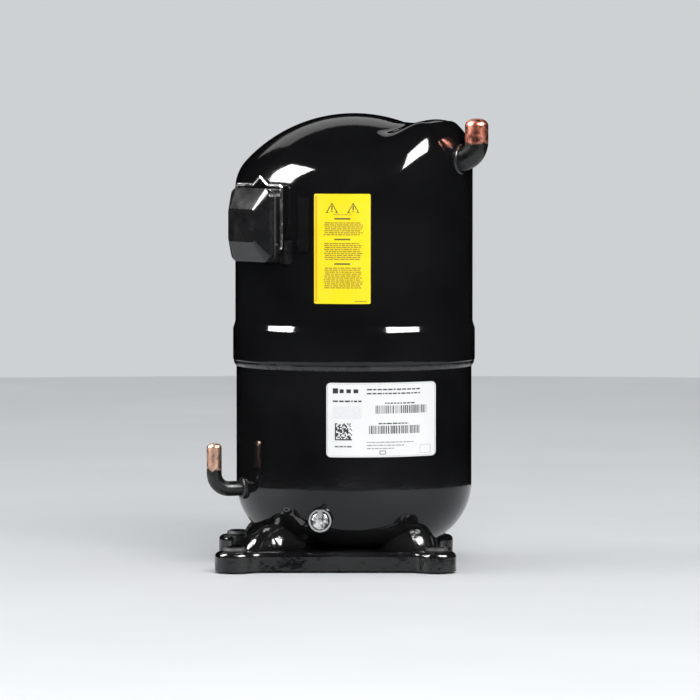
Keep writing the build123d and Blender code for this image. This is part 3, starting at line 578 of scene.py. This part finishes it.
def pierce(piece, spot, azimuth, radius, depth):
    """Cuts a round hole through the wall, looking along azimuth."""
    shape = bmesh.new()
    bmesh.ops.create_cone(shape, cap_ends=True, segments=64, radius1=radius, radius2=radius, depth=depth)
    mesh = bpy.data.meshes.new("cutter")
    shape.to_mesh(mesh)
    shape.free()
    cutter = bpy.data.objects.new("cutter", mesh)
    bpy.context.scene.collection.objects.link(cutter)
    cutter.matrix_world = (Matrix.Translation(spot) @ Matrix.Rotation(radians(azimuth), 4, "Z")
                           @ Matrix.Rotation(radians(90), 4, "Y"))
    bpy.context.view_layer.update()
    cut = piece.modifiers.new("hole", "BOOLEAN")
    cut.operation = "DIFFERENCE"
    cut.solver = "EXACT"
    cut.object = cutter
    bpy.context.view_layer.update()
    solid = bpy.data.meshes.new_from_object(piece.evaluated_get(bpy.context.evaluated_depsgraph_get()))
    piece.modifiers.clear()
    piece.data = solid
    bpy.data.objects.remove(cutter)


def bowl_profile(thinner):
    """(r, z) from the bowl's lowest point up to its rim."""
    centre_r = LOWER_R - BOWL_KNUCKLE_R
    rise = sqrt((DISH_R - BOWL_KNUCKLE_R) ** 2 - centre_r ** 2)
    lean = asin(centre_r / (DISH_R - BOWL_KNUCKLE_R))
    dish_r = DISH_R - thinner
    knuckle_r = BOWL_KNUCKLE_R - thinner
    spots = []
    for i in range(1, 25):
        angle = lean * i / 24
        spots.append((dish_r * sin(angle), BOWL_KNUCKLE_Z + rise - dish_r * cos(angle)))
    for i in range(1, 49):
        angle = -(pi / 2 - lean) * (1 - i / 48)
        spots.append((centre_r + knuckle_r * cos(angle), BOWL_KNUCKLE_Z + knuckle_r * sin(angle)))
    return spots + [(LOWER_R - thinner, z * MM) for z in (100, 130, 160, 190, 222)]


def lower_shell():
    """The drawn bowl: knuckle and shallow dished bottom, open at its middle."""
    profile = bowl_profile(0.0) + bowl_profile(WALL)[::-1]
    rows = [turned_ring(r, z, LOWER_COLUMNS) for r, z in profile][::-1]
    points, faces = skin(rows)
    add_piece("drawn_lower_shell", points, faces, FINISHES["gloss_black_shell"],
              stands_for="lower_shell")


def plug_profile(tube_r, bore_r, rise):
    """(r, z) from the dome's top down into the bore, from the stub's mouth."""
    arc = [(tube_r * sin(radians(6 * i)) ** 0.8, rise * cos(radians(6 * i))) for i in range(1, 15)]
    stem_r = bore_r - 0.1 * MM
    brim = [(tube_r, 0.2 * MM), (tube_r - 0.15 * MM, 0.05 * MM)]
    return arc + brim + [(stem_r, 0.05 * MM), (stem_r, -6 * MM)]


def stub_mouth(stub, tube_r, at_right):
    """Middle of the stub's open end, from its box and the vertices on its rim."""
    low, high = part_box(stub)
    rim = [v.co.y for v in NODES[stub].data.vertices if v.co.z > high.z - 0.1 * MM]
    x = high.x - tube_r if at_right else low.x + tube_r
    return Vector((x, (min(rim) + max(rim)) / 2, high.z))


def dust_plug(name, stub, tube, rise, at_right):
    """Domed plug pushed in a stub's mouth for transport."""
    mouth = stub_mouth(stub, tube[0], at_right)
    shift = mouth - Vector((SHELL_X, 0, 0))
    rows = [[p + shift for p in turned_ring(r, z, PLUG_COLUMNS)] for r, z in plug_profile(*tube, rise)]
    points, faces = skin(rows, shift + Vector((0, 0, rise)))
    last = (len(rows) - 1) * PLUG_COLUMNS
    faces.append(tuple(last + j for j in range(PLUG_COLUMNS))[::-1])
    add_piece(name, points, faces, SPECIAL[stub])


# --- print on the labels ---------------------------------------------------------------------

class Print:
    """Flat marks wrapped on the shell, measured from the label's lower left corner in mm."""

    def __init__(self, label, radius):
        low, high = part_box(label)
        self.left, self.bottom = low.x - SHELL_X, low.z
        self.width, self.height = (high.x - low.x) / MM, (high.z - low.z) / MM
        self.radius = radius + PRINT_PROUD
        self.points, self.faces = [], []

    def place(self, x, z):
        """The point on the wrapped label, x across and z up."""
        across = self.left + x * MM
        return Vector((SHELL_X + across, -sqrt(self.radius ** 2 - across ** 2), self.bottom + z * MM))

    def bar(self, x, z, width, height):
        """Upright rectangle, cut in strips so that it follows the curve."""
        strips = max(1, int(width / 4))
        for i in range(strips):
            a, b = x + width * i / strips, x + width * (i + 1) / strips
            self.slab(((a, z), (b, z), (b, z + height), (a, z + height)))

    def slab(self, corners):
        """One flat mark with these corners."""
        base = len(self.points)
        self.points += [self.place(x, z) for x, z in corners]
        self.faces.append(tuple(range(base, base + len(corners))))

    def frame(self, x, z, width, height, line):
        """Outline of a rectangle."""
        self.bar(x, z, width, line)
        self.bar(x, z + height - line, width, line)
        self.bar(x, z, line, height)
        self.bar(x + width - line, z, line, height)

    def line_of_words(self, x, z, width, height, chance):
        """A row of short dashes standing in for words."""
        end = x + width
        while x < end:
            word = min(chance.uniform(1.4, 5.2), end - x)
            self.bar(x, z, word, height)
            x += word + height * 0.7

    def add(self, name, material, slot):
        """Puts the marks in the scene as one piece."""
        add_piece(name, self.points, self.faces, material, smooth=False)


def triangle(marks, x, z, size, line):
    """Outlined triangle standing on its base."""
    rise = size * 0.87
    outer = ((x, z), (x + size, z), (x + size / 2, z + rise))
    heart = (x + size / 2, z + rise / 3)
    share = 1 - 3.4 * line / size
    inner = [(heart[0] + (px - heart[0]) * share, heart[1] + (pz - heart[1]) * share) for px, pz in outer]
    for i in range(3):
        j = (i + 1) % 3
        marks.slab((outer[i], outer[j], inner[j], inner[i]))


def warning_print():
    """Two plain signs over three blocks of dashes, with a warm strip at the left edge."""
    chance = random.Random(11)
    dark, pale, warm = (Print("warning_label", UPPER_R) for _ in range(3))
    width, height = dark.width, dark.height
    warm.bar(1.2, 2.0, 1.6, height - 4.0)
    for x in (11.0, 31.0):
        triangle(dark, x, height - 18.0, 11.5, 0.9)
        dark.bar(x + 5.1, height - 15.2, 1.3, 4.0)
        dark.bar(x + 5.1, height - 17.0, 1.3, 1.1)
    pale.bar(18.0, height - 19.8, 17.0, 0.5)
    top = height - 22.5
    for lines in (7, 9, 11):
        dark.bar(19.0, top - 1.6, 15.0, 1.5)
        top -= 4.2
        for row in range(lines):
            inset = chance.uniform(0, 2.0)
            pale.line_of_words(9.0 + inset, top - 1.0, 37.0 - inset - chance.uniform(0, 3.5), 0.95, chance)
            top -= 1.85
        top -= 2.2
    pale.line_of_words(38.0, 2.0, 11.0, 0.8, chance)
    dark.add("warning_print_dark", ink("warning_ink_dark", (0.16, 0.13, 0.03)), "yellow_label")
    pale.add("warning_print_text", ink("warning_ink_text", (0.3, 0.2, 0.02)), "yellow_label")
    warm.add("warning_print_strip", ink("warning_ink_warm", (0.85, 0.42, 0.01)), "yellow_label")


def rating_print():
    """Made-up bars, dots, boxes and dashes."""
    chance = random.Random(5)
    dark, grey, panel = (Print("rating_label", LOWER_R) for _ in range(3))
    width, height = dark.width, dark.height
    grey.frame(1.0, 1.0, width - 2.0, height - 2.0, 0.25)
    dark.bar(6.0, height - 10.0, 5.0, 5.0)
    dark.line_of_words(12.5, height - 9.6, 19.0, 3.6, chance)
    dark.line_of_words(6.0, height - 18.0, 27.0, 1.5, chance)
    panel.bar(6.0, height - 34.0, 27.0, 12.0)
    for column in range(14):
        for row in range(14):
            if column == 0 or row == 0 or chance.random() < 0.5:
                dark.bar(8.0 + column * 1.15, 16.0 + row * 1.15, 1.15, 1.15)
    dark.line_of_words(8.0, 9.5, 16.0, 1.1, chance)
    for z in (height - 7.0, height - 10.8):
        dark.line_of_words(38.0, z, 50.0, 1.3, chance)
    for z, start in ((height - 29.0, 46.0), (height - 48.0, 40.0)):
        dark.line_of_words(start + 9.0, z + 9.0, 28.0, 1.2, chance)
        x = start
        while x < start + 48.0:
            stroke = chance.choice((0.35, 0.35, 0.7, 1.05))
            dark.bar(x, z, stroke, 7.6)
            x += stroke + chance.choice((0.35, 0.7, 0.7, 1.05))
    for row in range(3):
        grey.line_of_words(38.0, 13.5 - row * 2.9, 44.0 - row * 9.0, 1.0, chance)
    dark.frame(50.0, 2.6, 6.0, 3.6, 0.6)
    grey.frame(88.0, 3.0, 10.0, 8.0, 0.3)
    dark.add("rating_print_dark", ink("rating_ink_dark", (0.03, 0.03, 0.032)), "white_label")
    grey.add("rating_print_grey", ink("rating_ink_grey", (0.28, 0.28, 0.29)), "white_label")
    panel.add("rating_print_panel", ink("rating_ink_panel", (0.72, 0.72, 0.73)), "white_label")


# --- studio ----------------------------------------------------------------------------------

def camera():
    """Front view, a little from above, with a long lens."""
    target = Vector((SHELL_X - 3.8 * MM, 0, 204.7 * MM))
    data = bpy.data.cameras.new("camera")
    data.lens = CAMERA_LENS
    data.sensor_width = 36.0
    eye = bpy.data.objects.new("camera", data)
    eye.location = target + CAMERA_DISTANCE * Vector((0, -cos(CAMERA_RISE), sin(CAMERA_RISE)))
    eye.rotation_euler = (target - eye.location).to_track_quat("-Z", "Y").to_euler()
    bpy.context.scene.collection.objects.link(eye)
    bpy.context.scene.camera = eye


def area_light(name, place, aim, width, height, power, diffuse=True, glossy=True):
    """Rectangular softbox at place, facing aim."""
    data = bpy.data.lights.new(name, "AREA")
    data.shape = "RECTANGLE"
    data.size = width
    data.size_y = height
    data.energy = power
    lamp = bpy.data.objects.new(name, data)
    lamp.visible_diffuse = diffuse
    lamp.visible_glossy = glossy
    lamp.location = place
    lamp.rotation_euler = (Vector(aim) - Vector(place)).to_track_quat("-Z", "Y").to_euler()
    bpy.context.scene.collection.objects.link(lamp)


def floor_ring(name, inner, outer, material):
    """Level ring just under the feet, round the compressor."""
    points, faces = skin([turned_ring(inner, 0, FLOOR_COLUMNS), turned_ring(outer, 0, FLOOR_COLUMNS)])
    ring = mesh_object(name, points, faces, material)
    ring.location.z = CAD_BOX[0].z - 0.2 * MM
    return ring


def floor():
    """A sheet that the gloss mirrors, and a wide one round it, flush, that only fills the view."""
    s = Shader("floor_paper", Roughness=0.75)
    s.link(s.blend(s.spread(s.noise(3, 3), 0, 1), (0.74, 0.75, 0.76), (0.78, 0.79, 0.8)), "Base Color")
    floor_ring("studio_sheet", 1 * MM, SHEET_R, s.material)
    floor_ring("studio_floor", SHEET_R, FLOOR_R, s.material).visible_glossy = False


def world():
    """Pale even backdrop, kept out of the gloss."""
    backdrop = bpy.data.worlds.new("studio")
    bpy.context.scene.world = backdrop
    backdrop.use_nodes = True
    shade = backdrop.node_tree.nodes["Background"]
    shade.inputs["Color"].default_value = (0.82, 0.85, 0.88, 1)
    shade.inputs["Strength"].default_value = 0.75
    backdrop.cycles_visibility.glossy = False


finish_cad_nodes()
round_edges("terminal_cover", 1.3 * MM)
upper_shell()
lower_shell()
dust_plug("suction_dust_plug", "suction_stub", SUCTION_TUBE, 7.0 * MM, at_right=True)
dust_plug("discharge_dust_plug", "discharge_stub", DISCHARGE_TUBE, 4.0 * MM, at_right=False)
warning_print()
rating_print()
camera()
floor()
world()
bpy.context.scene.view_settings.view_transform = "Standard"
area_light("softbox_left", (-1.70, -0.36, 1.65), (0, 0, 0.35), 1.1, 1.5, 240, diffuse=False)
area_light("softbox_right", (1.45, -1.18, 1.68), (0, 0, 0.35), 1.35, 1.15, 195, diffuse=False)
area_light("softbox_back", (-0.3, 2.6, 2.3), (0, 0, 0.3), 2.4, 1.2, 7, diffuse=False)
area_light("front_fill", (0.9, -3.4, 2.6), (0, 0, 0.2), 2.6, 2.0, 110, glossy=False)
